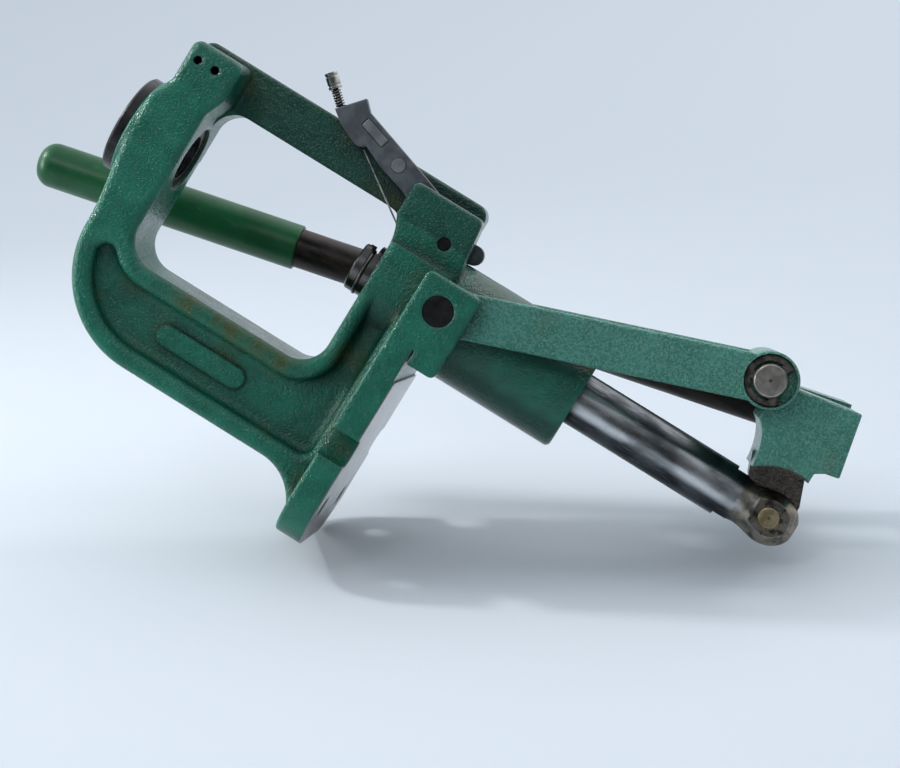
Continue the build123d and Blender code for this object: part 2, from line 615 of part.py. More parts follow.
with BuildPart() as priming_arm:
    with BuildSketch(arm_plane):
        with BuildLine():
            Polyline((5.5, 4), (3.2, 23.5), (-3.0, 38.3), (-16.2, 68.2), (-15.9, head_top),
                     (-31.2, head_top), (-30.6, 66.7), (-27.6, 57.5))
            ThreePointArc((-27.6, 57.5), (-25.8, 55.0), (-22.6, 54.2))
            Polyline((-22.6, 54.2), (-18.7, 42.5), (-12.3, 29.0), (-7.2, 5), (5.5, 4))
        make_face()
        Circle(7.5)
        with BuildLine():
            Polyline((4, 5), (13.4, -4.7), (6.8, -11.3), (-5, -5), (4, 5))
        make_face()
        with Locations((10.1, -8.0)):
            Circle(4.7)
    extrude(amount=arm_half, both=True)
    arm_rims = priming_arm.edges().filter_by(
        lambda e: abs(abs(e.center().Y) - arm_half) < 0.01 and e.center().Z > arm_pivot[1] + 5)
    fillet(arm_rims, 0.5)
    # shallow blank panel on each side
    for side in (-1, 1):
        with BuildSketch(arm_plane.offset(-side * (arm_half - 0.5))):
            with Locations(label_c):
                RectangleRounded(5.2, 14.4, 0.8, rotation=label_lean)
        extrude(amount=-side * 2, mode=Mode.SUBTRACT)
    with BuildSketch(arm_plane.offset(-10)):
        Circle(arm_pin_r + running_gap)
    extrude(amount=20, mode=Mode.SUBTRACT)
    with BuildSketch(cup_plane.offset(plug_root)):
        Circle(plug_r)
    extrude(amount=20, mode=Mode.SUBTRACT)
save(priming_arm, "priming_arm")

with BuildPart() as priming_arm_pin:
    with BuildSketch(side_plane(arm_pin_from)):
        with Locations(at(*arm_pivot)):
            Circle(arm_pin_r)
    extrude(amount=-arm_pin_length)
    chamfer(priming_arm_pin.edges().filter_by(GeomType.CIRCLE), 0.3)
save(priming_arm_pin, "priming_arm_pin")

with BuildPart() as primer_plug:
    with BuildSketch(cup_plane.offset(plug_root)):
        Circle(plug_r)
    extrude(amount=sleeve_high - 1 - plug_root)
save(primer_plug, "primer_plug")

with BuildPart() as primer_sleeve:
    with BuildSketch(cup_plane.offset(sleeve_low)):
        Circle(sleeve_r)
        Circle(plug_r + running_gap, mode=Mode.SUBTRACT)
    extrude(amount=sleeve_high - sleeve_low)
    # turned grooves
    for level in (1.2, 5.6):
        with BuildSketch(cup_plane.offset(sleeve_low + level)):
            Circle(sleeve_r + 1)
            Circle(sleeve_r - 0.4, mode=Mode.SUBTRACT)
        extrude(amount=0.9, mode=Mode.SUBTRACT)
save(primer_sleeve, "primer_sleeve")

with BuildPart() as primer_spring:
    with BuildSketch(cup_plane.offset(head_top + 0.05)):
        Circle(coil_r)
        Circle(coil_r - 0.6, mode=Mode.SUBTRACT)
    extrude(amount=sleeve_low - head_top - 0.1)
save(primer_spring, "primer_spring")

# thin wire that pushes the arm out, from the slot up to the arm's head
wire_r = 0.45
wire_from, wire_to = at(19.8, 28.5), at(45.6, 71.6)
with BuildPart() as priming_arm_spring:
    with BuildLine(Plane.XZ) as wire_path:
        FilletPolyline(wire_from, at(22.0, 37.0), wire_to, radius=8)
    with BuildSketch(Plane(wire_path.line @ 0, z_dir=wire_path.line % 0)):
        Circle(wire_r)
    sweep()
save(priming_arm_spring, "priming_arm_spring")
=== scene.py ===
"""Looks for the bench press: camera, light, floor, materials and the small pieces that CAD leaves plain."""
import json
from math import cos, pi, radians, sin

import bmesh
import bpy
from mathutils import Matrix, Vector


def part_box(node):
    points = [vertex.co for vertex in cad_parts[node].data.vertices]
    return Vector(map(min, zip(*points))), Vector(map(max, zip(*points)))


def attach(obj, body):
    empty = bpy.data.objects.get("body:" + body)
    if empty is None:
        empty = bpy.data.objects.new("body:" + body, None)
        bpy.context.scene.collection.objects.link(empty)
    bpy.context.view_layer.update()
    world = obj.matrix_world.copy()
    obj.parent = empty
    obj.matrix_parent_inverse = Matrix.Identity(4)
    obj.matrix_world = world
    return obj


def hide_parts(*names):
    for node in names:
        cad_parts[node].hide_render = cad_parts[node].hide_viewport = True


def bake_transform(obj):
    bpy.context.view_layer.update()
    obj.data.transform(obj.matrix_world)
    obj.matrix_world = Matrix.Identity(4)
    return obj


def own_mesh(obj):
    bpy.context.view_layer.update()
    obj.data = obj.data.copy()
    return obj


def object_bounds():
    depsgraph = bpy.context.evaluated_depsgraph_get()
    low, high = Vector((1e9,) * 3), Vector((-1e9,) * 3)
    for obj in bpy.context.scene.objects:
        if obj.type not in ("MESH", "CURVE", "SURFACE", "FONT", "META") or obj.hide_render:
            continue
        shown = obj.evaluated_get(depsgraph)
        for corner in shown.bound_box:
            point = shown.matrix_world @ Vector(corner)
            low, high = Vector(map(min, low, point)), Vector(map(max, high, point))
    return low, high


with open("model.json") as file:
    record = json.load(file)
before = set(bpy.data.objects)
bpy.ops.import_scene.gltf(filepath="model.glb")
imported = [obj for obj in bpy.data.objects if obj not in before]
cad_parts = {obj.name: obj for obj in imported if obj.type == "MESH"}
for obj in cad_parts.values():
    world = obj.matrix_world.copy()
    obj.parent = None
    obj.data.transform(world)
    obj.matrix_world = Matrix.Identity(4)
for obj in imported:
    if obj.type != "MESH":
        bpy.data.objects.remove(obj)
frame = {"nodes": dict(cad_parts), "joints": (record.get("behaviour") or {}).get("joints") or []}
nodes = frame["nodes"]
cad_box = [list(corner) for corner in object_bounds()]
MM = 0.001


# ---- stage: camera, floor and light ----
# the press stands on the rear edge of its flange, so the camera is rolled and the CAD frame stays upright
CAMERA_AT = Vector((0.1320, -1.0490, -0.0687))
CAMERA_AZIMUTH, CAMERA_ELEVATION, CAMERA_ROLL = radians(-4.42), radians(2.74), radians(-58.22)
LENS_MM = 91.95


def make_camera():
    forward = Vector((sin(CAMERA_AZIMUTH) * cos(CAMERA_ELEVATION),
                      cos(CAMERA_AZIMUTH) * cos(CAMERA_ELEVATION), sin(CAMERA_ELEVATION)))
    level = forward.cross(Vector((0, 0, 1))).normalized()
    upright = level.cross(forward)
    right = level * cos(CAMERA_ROLL) + upright * sin(CAMERA_ROLL)
    up = right.cross(forward)
    data = bpy.data.cameras.new("camera")
    data.lens = LENS_MM
    data.sensor_width = 36
    data.clip_end = 50
    camera = bpy.data.objects.new("camera", data)
    bpy.context.scene.collection.objects.link(camera)
    turn = Matrix((right, up, -forward)).transposed().to_4x4()
    camera.matrix_world = Matrix.Translation(CAMERA_AT) @ turn
    bpy.context.scene.camera = camera
    return right, up, forward


RIGHT, UP, FORWARD = make_camera()
LOOK_DOWN = radians(17)                     # the camera's height angle above the floor
FLOOR_NORMAL = (UP * cos(LOOK_DOWN) - FORWARD * sin(LOOK_DOWN)).normalized()
FLOOR_BACK = (FORWARD + FLOOR_NORMAL * -FORWARD.dot(FLOOR_NORMAL)).normalized()
FLOOR_SIDE = FLOOR_BACK.cross(FLOOR_NORMAL)


def stage_point(side, back, height):
    """A place on the stage, from the object's middle on the floor, in metres."""
    return FLOOR_MIDDLE + FLOOR_SIDE * side + FLOOR_BACK * back + FLOOR_NORMAL * height


def below_press():
    """The place on the floor under the middle of the press, whose lowest point rests on the floor."""
    low = min(vertex.co.dot(FLOOR_NORMAL) for node in nodes.values() for vertex in node.data.vertices)
    middle = (Vector(cad_box[0]) + Vector(cad_box[1])) / 2
    return middle + FLOOR_NORMAL * (low - middle.dot(FLOOR_NORMAL))


FLOOR_MIDDLE = below_press()
FLOOR_HALF, FLOOR_GAP = 9.0, 0.0004         # half the floor's side, and its depth below the press
FLOOR_COLOUR = (0.60, 0.645, 0.695, 1)


def make_floor():
    corners = [(side * FLOOR_HALF, back * FLOOR_HALF) for side, back in ((-1, -1), (1, -1), (1, 1), (-1, 1))]
    mesh = bpy.data.meshes.new("floor")
    mesh.from_pydata([stage_point(side, back, -FLOOR_GAP) for side, back in corners], [], [(0, 1, 2, 3)])
    floor = bpy.data.objects.new("floor", mesh)
    bpy.context.scene.collection.objects.link(floor)
    if mesh.polygons[0].normal.dot(FLOOR_NORMAL) < 0:
        mesh.flip_normals()
    material = bpy.data.materials.new("pale_floor")
    material.use_nodes = True
    tree = material.node_tree
    shader = tree.nodes["Principled BSDF"]
    shader.inputs["Base Color"].default_value = FLOOR_COLOUR
    shader.inputs["Roughness"].default_value = 0.9
    shader.inputs["Specular IOR Level"].default_value = 0.0
    # seen from below, the floor is clear, so that the press shows from every side
    clear = tree.nodes.new("ShaderNodeBsdfTransparent")
    side = tree.nodes.new("ShaderNodeNewGeometry")
    mix = tree.nodes.new("ShaderNodeMixShader")
    tree.links.new(side.outputs["Backfacing"], mix.inputs["Fac"])
    tree.links.new(shader.outputs["BSDF"], mix.inputs[1])
    tree.links.new(clear.outputs["BSDF"], mix.inputs[2])
    tree.links.new(mix.outputs["Shader"], tree.nodes["Material Output"].inputs["Surface"])
    mesh.materials.append(material)


LIGHT_AIM = 0.15                            # height above the floor that the lights point at


def add_light(name, side, back, height, size, power, colour=(1, 1, 1), tall=None, spread=180):
    """An area light at a place on the stage, turned to the press: metres, watts and degrees."""
    data = bpy.data.lights.new(name, "AREA")
    data.size, data.energy, data.color = size, power, colour
    data.spread = radians(spread)
    if tall:
        data.shape, data.size_y = "RECTANGLE", tall
    light = bpy.data.objects.new(name, data)
    light.location = stage_point(side, back, height)
    light.rotation_euler = (stage_point(0, 0, LIGHT_AIM) - light.location).to_track_quat("-Z", "Y").to_euler()
    bpy.context.scene.collection.objects.link(light)


SKY_COLOUR = (0.84, 0.90, 0.97, 1)
SKY_DIM, SKY_BRIGHT = 0.09, 0.98            # strength on the camera's side, and above and behind the press
SKY_STEP = (-0.35, 0.55)                    # where the smooth step between them starts and ends


def make_world():
    """A studio that is bright above and behind the press, and dim on the camera's side."""
    world = bpy.data.worlds.new("studio")
    world.use_nodes = True
    tree = world.node_tree
    background = tree.nodes["Background"]
    background.inputs["Color"].default_value = SKY_COLOUR
    direction = tree.nodes.new("ShaderNodeTexCoord").outputs["Generated"]
    lean = tree.nodes.new("ShaderNodeVectorMath")
    lean.operation = "DOT_PRODUCT"
    lean.inputs[1].default_value = (FLOOR_NORMAL * 0.8 + FLOOR_BACK * 0.6).normalized()
    ramp = tree.nodes.new("ShaderNodeMapRange")
    ramp.interpolation_type = "SMOOTHSTEP"
    for socket, value in (("From Min", SKY_STEP[0]), ("From Max", SKY_STEP[1]),
                          ("To Min", SKY_DIM), ("To Max", SKY_BRIGHT)):
        ramp.inputs[socket].default_value = value
    tree.links.new(direction, lean.inputs[0])
    tree.links.new(lean.outputs["Value"], ramp.inputs["Value"])
    tree.links.new(ramp.outputs["Result"], background.inputs["Strength"])
    bpy.context.scene.world = world


make_floor()
make_world()
add_light("key", 1.90, 1.60, 2.60, 3.0, 46, (1.0, 0.99, 0.98))
add_light("left_softbox", -1.15, -0.05, 0.34, 0.32, 3.0, tall=0.55, spread=120)
add_light("left_rim", -0.80, 0.22, 0.70, 0.10, 0.9, spread=80)
add_light("front_fill", -0.45, -0.95, 1.15, 0.3, 1.9, (0.97, 0.99, 1.0))
bpy.context.scene.view_settings.view_transform = "Standard"


# ---- material nodes ----
class Paint:
    """One node tree with short calls for the few node kinds that the materials share."""

    def __init__(self, name):
        self.material = bpy.data.materials.new(name)
        self.material.use_nodes = True
        self.tree = self.material.node_tree
        self.shader = self.tree.nodes["Principled BSDF"]
        self.place = self.add("ShaderNodeTexCoord").outputs["Object"]

    def add(self, kind, inputs=None, **settings):
        node = self.tree.nodes.new(kind)
        for key, value in settings.items():
            setattr(node, key, value)
        for key, value in (inputs or {}).items():
            self.feed(node.inputs[key], value)
        return node

    def feed(self, socket, value):
        if isinstance(value, bpy.types.NodeSocket):
            self.tree.links.new(value, socket)
        elif isinstance(value, tuple) and len(value) == 3 and socket.type == "RGBA":
            socket.default_value = (*value, 1)
        else:
            socket.default_value = value

    def set(self, **values):
        for key, value in values.items():
            self.feed(self.shader.inputs[key.replace("_", " ")], value)

    def stretched(self, x=1.0, y=1.0, z=1.0, at=(0, 0, 0)):
        """The place on the object, measured from at and scaled on each axis."""
        shift = self.add("ShaderNodeVectorMath", {0: self.place, 1: at}, operation="SUBTRACT")
        return self.add("ShaderNodeVectorMath", {0: shift.outputs[0], 1: (x, y, z)},
                        operation="MULTIPLY").outputs[0]

    def distance(self, x, y, z, at):
        """How far the stretched place is from at."""
        return self.add("ShaderNodeVectorMath", {0: self.stretched(x, y, z, at)},
                        operation="LENGTH").outputs["Value"]

    def axis(self, letter):
        return self.add("ShaderNodeSeparateXYZ", {"Vector": self.place}).outputs[letter]

    def noise(self, size, detail=3.0, where=None):
        """Cloudy noise whose features are about size metres."""
        return self.add("ShaderNodeTexNoise", {"Vector": where or self.place, "Scale": 1 / size,
                                               "Detail": detail}).outputs["Fac"]

    def band(self, value, low, high, to_low=0.0, to_high=1.0):
        """A smooth step from to_low at low to to_high at high."""
        node = self.add("ShaderNodeMapRange", {"Value": value, "From Min": low, "From Max": high,
                                               "To Min": to_low, "To Max": to_high})
        node.interpolation_type = "SMOOTHSTEP"
        return node.outputs["Result"]

    def stripe(self, value, start, full, fade, end):
        """1 between full and fade, and 0 before start and after end."""
        return self.times(self.band(value, start, full), self.band(value, fade, end, 1.0, 0.0))

    def math(self, kind, a, b):
        return self.add("ShaderNodeMath", {0: a, 1: b}, operation=kind).outputs[0]

    def times(self, a, b):
        return self.math("MULTIPLY", a, b)

    def mix(self, amount, a, b):
        node = self.add("ShaderNodeMix", data_type="RGBA")
        self.feed(node.inputs["Factor"], amount)
        self.feed(node.inputs[6], a)
        self.feed(node.inputs[7], b)
        return node.outputs[2]

    def crevice(self, reach, low=0.35, high=0.85):
        """1 in corners and hollows, 0 in the open."""
        node = self.add("ShaderNodeAmbientOcclusion", {"Distance": reach}, samples=6, only_local=False)
        return self.band(node.outputs["AO"], low, high, 1.0, 0.0)

    def rounded(self, radius):
        return self.add("ShaderNodeBevel", {"Radius": radius}, samples=4).outputs["Normal"]

    def edges(self, radius):
        """1 along outside edges, from how far the rounded normal leans from the true one."""
        true = self.add("ShaderNodeNewGeometry").outputs["Normal"]
        lean = self.add("ShaderNodeVectorMath", {0: self.rounded(radius), 1: true}, operation="DOT_PRODUCT")
        return self.band(lean.outputs["Value"], 0.75, 0.97, 1.0, 0.0)

    def bump(self, height, distance, strength=1.0, under=None):
        node = self.add("ShaderNodeBump", {"Height": height, "Distance": distance, "Strength": strength})
        if under is not None:
            self.feed(node.inputs["Normal"], under)
        return node.outputs["Normal"]


# ---- places that the materials follow, in metres ----
def centre_of(node):
    low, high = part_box(node)
    return tuple((Vector(low) + Vector(high)) / 2)


frame_low, frame_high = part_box("frame_casting")
FACE_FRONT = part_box("ram")[0][0] - 0.021      # front edge of the planed bench face
COLUMN_REAR = frame_high[0] - 0.024           # rear face of the light column
WINDOW_REAR = frame_low[0] + 0.0684           # rear wall of the frame's window
TUBE_TOP = -0.006                             # the guide tube starts below this height
EAR_REAR = -0.030                             # depth of the near ear's rear side
CASTING_SIDE = -0.024                         # depth where the casting's near side ends
# heights where the window's oil run and the bench face's bare edge start, are full, fade and end
RUN_HEIGHTS = (0.036, 0.052, 0.095, 0.125)
EDGE_HEIGHTS = (-0.0008, -0.0003, 0.0002, 0.0007)
BARE_RADIUS, FOOT_RADIUS = 0.0248, 0.0124     # round the ram's foot: bare metal, and the foot itself
RAM_NEAR_SIDE, RAM_HEAD = -0.0122, 0.030      # depth of the ram's near side, which carries a painted highlight streak, height of its head
BORE_RADIUS = 0.0115                          # the die bushing's thread lies inside this
WAVE_LENGTH = 0.314                           # a wave texture of scale 1 repeats after this many metres
PIN_RINGS = 240.0                             # wave scale of the turned rings on a pin's end


# ---- materials ----
def enamel(name):
    """Glossy dark green over a sand-cast skin, with painted shade and oil stains in the corners, and rubbed
    edges.
    """
    p = Paint(name)
    skin = p.noise(0.0016, 2.0)
    grain = p.noise(0.0009, 1.0)
    waves = p.noise(0.012, 3.0)
    shaded_hollows = p.crevice(0.030, 0.26, 0.92)
    worn = p.times(p.edges(0.0010), p.band(p.noise(0.014, 4.0), 0.54, 0.66))
    across, deep, height = (p.axis(letter) for letter in "XYZ")
    tone = p.mix(p.band(waves, 0.32, 0.68), (0.004, 0.108, 0.066), (0.007, 0.150, 0.094))
    # painted shade darkens the tube and the light column, least on their near sides
    tube = p.times(p.band(height, TUBE_TOP, TUBE_TOP + 0.006, 1.0, 0.0),
                   p.band(deep, EAR_REAR, EAR_REAR + 0.004))
    painted_shade_parts = p.math("MAXIMUM", tube, p.band(across, COLUMN_REAR, COLUMN_REAR + 0.002))
    painted_shade_parts = p.times(painted_shade_parts, p.band(deep, CASTING_SIDE, CASTING_SIDE + 0.004, 0.25, 1.0))
    tone = p.mix(p.times(painted_shade_parts, 0.62), tone, (0.002, 0.024, 0.017))
    # painted shade: darker and rougher in the corners and hollows
    tone = p.mix(p.times(shaded_hollows, 0.92), tone, (0.003, 0.014, 0.011))
    # old oil has stained the corners and run down the window's rear wall
    stain = p.times(p.crevice(0.030, 0.45, 0.95), p.band(p.noise(0.022, 5.0), 0.48, 0.64))
    wall = p.stripe(across, WINDOW_REAR - 0.012, WINDOW_REAR - 0.005,
                    WINDOW_REAR + 0.001, WINDOW_REAR + 0.006)
    blotches = p.band(p.noise(0.012, 5.0), 0.36, 0.60, 0.1, 0.85)
    run = p.times(p.times(wall, p.stripe(height, *RUN_HEIGHTS)), blotches)
    tone = p.mix(p.math("MAXIMUM", p.times(stain, 0.60), run), tone, (0.055, 0.060, 0.010))
    tone = p.mix(p.times(worn, 0.55), tone, (0.12, 0.20, 0.17))
    # the planed edge of the bench face is bare iron
    bare = p.times(p.stripe(height, *EDGE_HEIGHTS), p.band(across, FACE_FRONT, FACE_FRONT + 0.001, 1.0, 0.0))
    tone = p.mix(bare, tone, (0.26, 0.265, 0.265))
    rough = p.math("ADD", p.band(waves, 0.3, 0.7, 0.11, 0.20), p.times(shaded_hollows, 0.25))
    relief = p.math("ADD", p.times(skin, 0.6), p.times(grain, 0.8))
    p.set(Base_Color=tone, Roughness=rough, Metallic=p.times(bare, 0.85), Specular_IOR_Level=0.42,
          Normal=p.bump(relief, 0.00070, 0.90, p.rounded(0.0030)))
    return p.material


def hammered(name, bare_axis=None):
    """Hammered enamel: pale flecks over mid green, and bare metal round bare_axis where asked."""
    p = Paint(name)
    flecks = p.noise(0.0011, 1.0)
    fine = p.noise(0.0006, 2.0)
    shaded_hollows = p.crevice(0.008)
    worn = p.times(p.edges(0.0009), p.band(p.noise(0.008, 4.0), 0.44, 0.60))
    tone = p.mix(p.band(p.noise(0.018, 4.0), 0.35, 0.65), (0.020, 0.170, 0.115), (0.034, 0.215, 0.155))
    tone = p.mix(p.band(flecks, 0.40, 0.66, 0.0, 0.35), tone, (0.130, 0.400, 0.315))
    tone = p.mix(p.band(fine, 0.54, 0.74, 0.0, 0.35), tone, (0.30, 0.52, 0.44))
    tone = p.mix(p.band(p.noise(0.025, 5.0), 0.55, 0.72, 0.0, 0.30), tone, (0.12, 0.12, 0.07))
    # painted shade: darker in the corners and hollows
    tone = p.mix(p.times(shaded_hollows, 0.7), tone, (0.016, 0.026, 0.018))
    tone = p.mix(p.times(worn, 0.55), tone, (0.24, 0.32, 0.29))
    if bare_axis is not None:
        reach = p.distance(1, 0, 1, bare_axis)
        edge = p.math("ADD", reach, p.times(p.noise(0.004, 3.0), 0.002))
        bare = p.band(edge, BARE_RADIUS, BARE_RADIUS + 0.0014, 1.0, 0.0)
        ring = p.band(reach, FOOT_RADIUS, FOOT_RADIUS + 0.001)
        brown = p.mix(p.band(p.noise(0.003, 5.0), 0.38, 0.62), (0.045, 0.037, 0.030), (0.15, 0.13, 0.11))
        brown = p.mix(p.times(ring, 0.35), (0.10, 0.085, 0.07), brown)
        tone = p.mix(bare, tone, brown)
        p.set(Metallic=p.times(bare, 0.7))
    relief = p.math("ADD", flecks, p.times(fine, 0.30))
    p.set(Base_Color=tone, Roughness=p.band(fine, 0.3, 0.7, 0.12, 0.24),
          Normal=p.bump(relief, 0.00130, 1.0, p.rounded(0.0009)))
    return p.material


def vinyl(name):
    """Dipped green vinyl, glossy, with faint waves and scuffs."""
    p = Paint(name)
    waves = p.noise(0.014, 2.0)
    scuffs = p.band(p.noise(0.003, 6.0, p.stretched(1, 1, 0.25)), 0.60, 0.72)
    tone = p.mix(p.band(waves, 0.35, 0.65), (0.003, 0.066, 0.020), (0.005, 0.090, 0.028))
    tone = p.mix(p.times(scuffs, 0.22), tone, (0.03, 0.17, 0.08))
    p.set(Base_Color=tone, Roughness=p.band(scuffs, 0.0, 1.0, 0.36, 0.50), Specular_IOR_Level=0.35,
          Normal=p.bump(p.noise(0.005, 3.0), 0.00012, 0.5))
    return p.material


def steel(name, dark, light, rough, streak=(1, 1, 1), size=0.004, rust=0.0, scratch=0.00002, metallic=1.0):
    """Worn steel: cloudy tone, fine scratches along the streak, and rust where asked."""
    p = Paint(name)
    where = p.stretched(*streak)
    clouds = p.noise(size, 5.0, where)
    lines = p.noise(size * 0.14, 2.0, where)
    tone = p.mix(p.band(clouds, 0.36, 0.64), dark, light)
    # painted shade: darker in the corners and hollows
    tone = p.mix(p.times(p.crevice(0.004), 0.8), tone, (0.014, 0.012, 0.010))
    if rust:
        spots = p.times(p.band(p.noise(0.006, 6.0), 0.56, 0.70), rust)
        tone = p.mix(spots, tone, (0.10, 0.052, 0.026))
    roughness = p.band(clouds, 0.35, 0.65, rough * 0.8, rough * 1.35)
    p.set(Base_Color=tone, Roughness=roughness, Metallic=metallic,
          Normal=p.bump(lines, scratch, 0.6, p.rounded(0.0004)))
    return p.material


def ram_steel(name, foot):
    """Dark oiled ram, scratched along its length, worn bright and brown round its foot's pin."""
    p = Paint(name)
    where = p.stretched(1, 1, 0.14)
    stains = p.noise(0.010, 6.0, p.stretched(1, 1, 0.5))
    tone = p.mix(p.band(stains, 0.36, 0.62), (0.035, 0.040, 0.044), (0.100, 0.108, 0.115))
    tone = p.mix(p.band(p.noise(0.0012, 3.0, where), 0.58, 0.74, 0.0, 0.30), tone, (0.30, 0.31, 0.32))
    # painted highlight: a bright streak in patches along the ram's near side
    painted_streak = p.band(p.noise(0.016, 4.0, p.stretched(1, 1, 0.35)), 0.40, 0.56, 0.15, 0.90)
    painted_streak = p.times(painted_streak, p.band(p.axis("Y"), RAM_NEAR_SIDE, RAM_NEAR_SIDE + 0.0016, 1.0, 0.0))
    tone = p.mix(painted_streak, tone, (0.60, 0.615, 0.625))
    head = p.band(p.axis("Z"), RAM_HEAD, RAM_HEAD + 0.006)
    tone = p.mix(p.times(head, 0.7), tone, (0.050, 0.042, 0.036))
    far = p.distance(1, 0.55, 1, foot)
    worn = p.times(p.band(far, 0.013, 0.021, 1.0, 0.0), p.band(p.noise(0.006, 5.0), 0.34, 0.60, 0.2, 1.0))
    tone = p.mix(worn, tone, (0.33, 0.285, 0.225))
    soot = p.times(p.band(far, 0.010, 0.016, 1.0, 0.0), p.band(p.noise(0.004, 5.0), 0.50, 0.62))
    tone = p.mix(p.times(soot, 0.8), tone, (0.03, 0.025, 0.02))
    # painted shade: darker in the corners and hollows
    tone = p.mix(p.times(p.crevice(0.005), 0.85), tone, (0.012, 0.010, 0.009))
    p.set(Base_Color=tone, Roughness=p.band(stains, 0.35, 0.65, 0.34, 0.22), Metallic=1.0,
          Normal=p.bump(p.noise(0.0007, 2.0, where), 0.00003, 0.6, p.rounded(0.0005)))
    return p.material


def turned(name, centre, dark, light):
    """Turned pin end: fine rings round an axis along Y, with a dark middle."""
    p = Paint(name)
    rings = p.add("ShaderNodeTexWave", {"Vector": p.stretched(1, 0, 1, centre), "Scale": PIN_RINGS,
                                        "Distortion": 1.0, "Detail": 2.0},
                  wave_type="RINGS", rings_direction="SPHERICAL").outputs["Fac"]
    tone = p.mix(p.band(p.noise(0.004, 5.0), 0.35, 0.65), dark, light)
    tone = p.mix(p.band(p.distance(1, 0, 1, centre), 0.0003, 0.0011, 0.8, 0.0), tone, (0.05, 0.04, 0.035))
    # painted shade: darker in the corners and hollows
    tone = p.mix(p.times(p.crevice(0.003), 0.9), tone, (0.014, 0.012, 0.010))
    p.set(Base_Color=tone, Roughness=p.band(rings, 0.2, 0.8, 0.28, 0.36), Metallic=1.0,
          Normal=p.bump(rings, 0.000010, 0.25, p.rounded(0.0007)))
    return p.material


def die_cast(name, dark, light):
    """Matt grey die casting with a fine sandy skin."""
    p = Paint(name)
    sand = p.noise(0.0005, 3.0)
    tone = p.mix(p.band(p.noise(0.006, 5.0), 0.35, 0.65), dark, light)
    # painted shade: darker in the corners and hollows
    tone = p.mix(p.times(p.crevice(0.003), 0.7), tone, (0.016, 0.016, 0.016))
    tone = p.mix(p.times(p.edges(0.0005), 0.30), tone, (0.34, 0.35, 0.36))
    p.set(Base_Color=tone, Roughness=p.band(sand, 0.3, 0.7, 0.40, 0.58), Metallic=0.55,
          Normal=p.bump(sand, 0.0001, 0.5, p.rounded(0.0005)))
    return p.material


def blacked(name, thread_pitch=None):
    """Satin black steel; a thread_pitch adds turned threads along Z."""
    p = Paint(name)
    tone = p.mix(p.band(p.noise(0.007, 5.0), 0.35, 0.65), (0.009, 0.009, 0.010), (0.024, 0.024, 0.025))
    tone = p.mix(p.times(p.edges(0.0006), 0.4), tone, (0.12, 0.115, 0.11))
    relief = p.noise(0.0010, 3.0)
    if thread_pitch:
        turns = p.add("ShaderNodeTexWave", {"Vector": p.place, "Scale": WAVE_LENGTH / thread_pitch},
                      wave_type="BANDS", bands_direction="Z").outputs["Fac"]
        out = p.distance(1, 1, 0, centre_of("ram"))
        turns = p.times(turns, p.band(out, BORE_RADIUS, BORE_RADIUS + 0.0005, 1.0, 0.0))
        relief = p.math("ADD", p.times(relief, 0.1), turns)
    p.set(Base_Color=tone, Roughness=p.band(p.noise(0.004, 4.0), 0.3, 0.7, 0.26, 0.40), Metallic=0.6,
          Normal=p.bump(relief, 0.0004 if thread_pitch else 0.00005, 0.6, p.rounded(0.0005)))
    return p.material


green = enamel("green_enamel")
hammer = hammered("hammered_green")
black_steel = blacked("black_steel")
clip_steel = steel("clip_steel", (0.085, 0.074, 0.064), (0.20, 0.18, 0.16), 0.36, rust=0.25)
arm_grey = die_cast("grey_die_casting", (0.085, 0.098, 0.108), (0.135, 0.152, 0.165))
nickel = steel("nickel", (0.30, 0.29, 0.27), (0.55, 0.54, 0.50), 0.16)
wire_steel = steel("bright_wire", (0.30, 0.30, 0.29), (0.55, 0.55, 0.54), 0.28)
FINISHES = {
    "frame_casting": green,
    "die_bushing": blacked("threaded_black", 1.8 * MM),
    "left_pivot_pin": black_steel,
    "right_pivot_pin": die_cast("greyed_pin", (0.080, 0.105, 0.090), (0.14, 0.175, 0.155)),
    "ram": ram_steel("ground_steel", centre_of("ram_pin")),
    "ram_pin": turned("yellow_pin", centre_of("ram_pin"), (0.38, 0.30, 0.16), (0.62, 0.52, 0.32)),
    "shell_holder_spring": clip_steel,
    "toggle_block": hammered("hammered_block", centre_of("ram_pin")),
    "link_pin": turned("bright_pin", centre_of("link_pin"), (0.42, 0.39, 0.34), (0.66, 0.62, 0.55)),
    "left_link": hammer,
    "right_link": hammer,
    "left_washer": black_steel,
    "right_washer": black_steel,
    "left_snap_ring": clip_steel,
    "right_snap_ring": clip_steel,
    "handle_rod": steel("brown_rod", (0.016, 0.013, 0.012), (0.042, 0.034, 0.030), 0.38, (1, 1, 0.3), 0.006,
                        rust=0.2, metallic=0.7),
    "handle_grip": vinyl("green_vinyl"),
    "handle_set_screw": black_steel,
    "priming_arm": arm_grey,
    "priming_arm_pin": black_steel,
    "primer_sleeve": nickel,
    "primer_plug": black_steel,
}
for node_name, finish in FINISHES.items():
    slots = nodes[node_name].data.materials
    slots.clear()
    slots.append(finish)


# ---- small pieces ----
def mesh_piece(name, mesh, material, body=None, smooth=True):
    piece = bpy.data.objects.new(name, mesh)
    bpy.context.scene.collection.objects.link(piece)
    piece.data.materials.clear()
    piece.data.materials.append(material)
    for face in piece.data.polygons:
        face.use_smooth = smooth
    if body:
        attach(piece, body)
    return piece


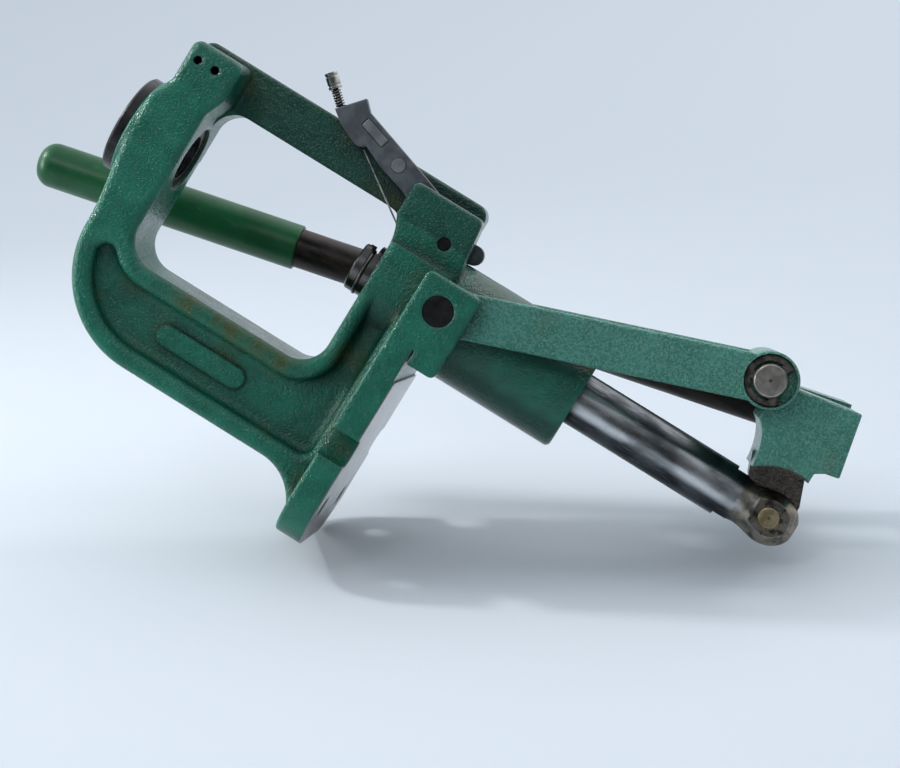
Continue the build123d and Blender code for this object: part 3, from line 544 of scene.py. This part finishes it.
def wire_mesh(name, points, radius, kind="NURBS"):
    """A round wire along points, as a mesh."""
    curve = bpy.data.curves.new(name, "CURVE")
    curve.dimensions = "3D"
    curve.bevel_depth, curve.bevel_resolution, curve.resolution_u = radius, 3, 6
    curve.use_fill_caps = True
    spline = curve.splines.new(kind)
    spline.points.add(len(points) - 1)
    for point, place in zip(spline.points, points):
        point.co = (*place, 1)
    if kind == "NURBS":
        spline.order_u = 3
        spline.use_endpoint_u = True
    holder = bpy.data.objects.new(name, curve)
    bpy.context.scene.collection.objects.link(holder)
    mesh = bpy.data.meshes.new_from_object(holder.evaluated_get(bpy.context.evaluated_depsgraph_get()))
    bpy.data.objects.remove(holder)
    bpy.data.curves.remove(curve)
    return mesh


joints = {joint["name"]: joint for joint in frame["joints"]}
CUP_AXIS = -Vector(joints["primer_sleeve_slide"]["axis"])
ACROSS = Vector((CUP_AXIS.z, 0, -CUP_AXIS.x))           # square to the cup's axis, away from the column
ARM_PIVOT = Vector(joints["priming_arm_swing"]["pos_m"])


def on_arm(across, along, out):
    """A place on the priming arm, in millimetres from its pivot; out is towards -Y."""
    return ARM_PIVOT + (ACROSS * across + CUP_AXIS * along + Vector((0, -out, 0))) * MM


def primer_coil():
    """The coil spring under the primer cup, in place of the CAD tube."""
    low, high = (Vector(corner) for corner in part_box("primer_spring"))
    size = high - low
    radius = size.y / 2
    length = (size.x - 2 * radius * abs(CUP_AXIS.z)) / abs(CUP_AXIS.x)
    foot = (low + high) / 2 - CUP_AXIS * length / 2
    wire, turns, steps = 0.36 * MM, 6.5, 14
    points = []
    for i in range(int(turns * steps) + 1):
        turn = 2 * pi * i / steps
        out = ACROSS * cos(turn) + Vector((0, 1, 0)) * sin(turn)
        rise = wire + (length - 2 * wire) * i / (turns * steps)
        points.append(foot + CUP_AXIS * rise + out * (radius - wire))
    coil = mesh_piece("primer_coil", wire_mesh("primer_coil", points, wire), clip_steel,
                      "priming_arm")
    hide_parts("primer_spring")
    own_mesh(coil)


def arm_wire():
    """The thin return wire, from its foot in the frame's slot to its end on the arm, fixed in place."""
    low, high = (Vector(corner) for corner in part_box("priming_arm_spring"))
    elbow = Vector((low.x + ELBOW_ACROSS, 0, low.z + ELBOW_UP))
    radius = (high.y - low.y) / 2
    points = [Vector((low.x + radius, 0, low.z)), elbow, Vector((high.x - radius, 0, high.z - radius))]
    wire = mesh_piece("arm_wire", wire_mesh("arm_wire", points, radius, "POLY"), wire_steel)
    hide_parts("priming_arm_spring")
    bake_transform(wire)


def raised_pad(name, outline):
    """A low flat pad on the arm's near face, from an outline of (across, along) points."""
    mesh = bpy.data.meshes.new(name)
    bm = bmesh.new()
    corners = [bm.verts.new(on_arm(across, along, PAD_TOP - PAD_DEPTH)) for across, along in outline]
    grown = bmesh.ops.extrude_face_region(bm, geom=[bm.faces.new(corners)])["geom"]
    bmesh.ops.translate(bm, verts=[part for part in grown if isinstance(part, bmesh.types.BMVert)],
                        vec=Vector((0, -PAD_DEPTH * MM, 0)))
    rim = [edge for edge in bm.edges
           if all(vertex.co.y < -(PAD_TOP - PAD_DEPTH / 2) * MM for vertex in edge.verts)]
    bmesh.ops.bevel(bm, geom=rim, offset=PAD_BEVEL * MM, segments=2, affect="EDGES")
    bmesh.ops.recalc_face_normals(bm, faces=bm.faces)
    bm.to_mesh(mesh)
    bm.free()
    mesh_piece(name, mesh, pad_grey, "priming_arm", smooth=False)


def leant_box(centre, width, height, lean):
    """Corners of a box on the arm, leant by degrees."""
    c, s = cos(radians(lean)), sin(radians(lean))
    corners = [(x * width / 2, y * height / 2) for x, y in ((-1, -1), (1, -1), (1, 1), (-1, 1))]
    return [(centre[0] + x * c - y * s, centre[1] + x * s + y * c) for x, y in corners]


def circle(centre, radius, sides=32):
    return [(centre[0] + radius * cos(2 * pi * i / sides), centre[1] + radius * sin(2 * pi * i / sides))
            for i in range(sides)]


# the return wire's elbow, from the low corner of its box
ELBOW_ACROSS, ELBOW_UP = 2.2 * MM, 8.2 * MM
# the blank pads, in millimetres and degrees on the priming arm
PAD_TOP, PAD_DEPTH, PAD_BEVEL = 3.75, 1.0, 0.25
LABEL_AT, LABEL_SIZE, LABEL_LEAN = (-16.7, 58.6), (4.5, 13.6), 25
ROUND_AT, ROUND_RADIUS = (-10.8, 41.2), 3.6
pad_grey = die_cast("pad_grey", (0.15, 0.165, 0.175), (0.22, 0.24, 0.25))
primer_coil()
arm_wire()
raised_pad("blank_label_pad", leant_box(LABEL_AT, *LABEL_SIZE, LABEL_LEAN))
raised_pad("blank_round_pad", circle(ROUND_AT, ROUND_RADIUS))
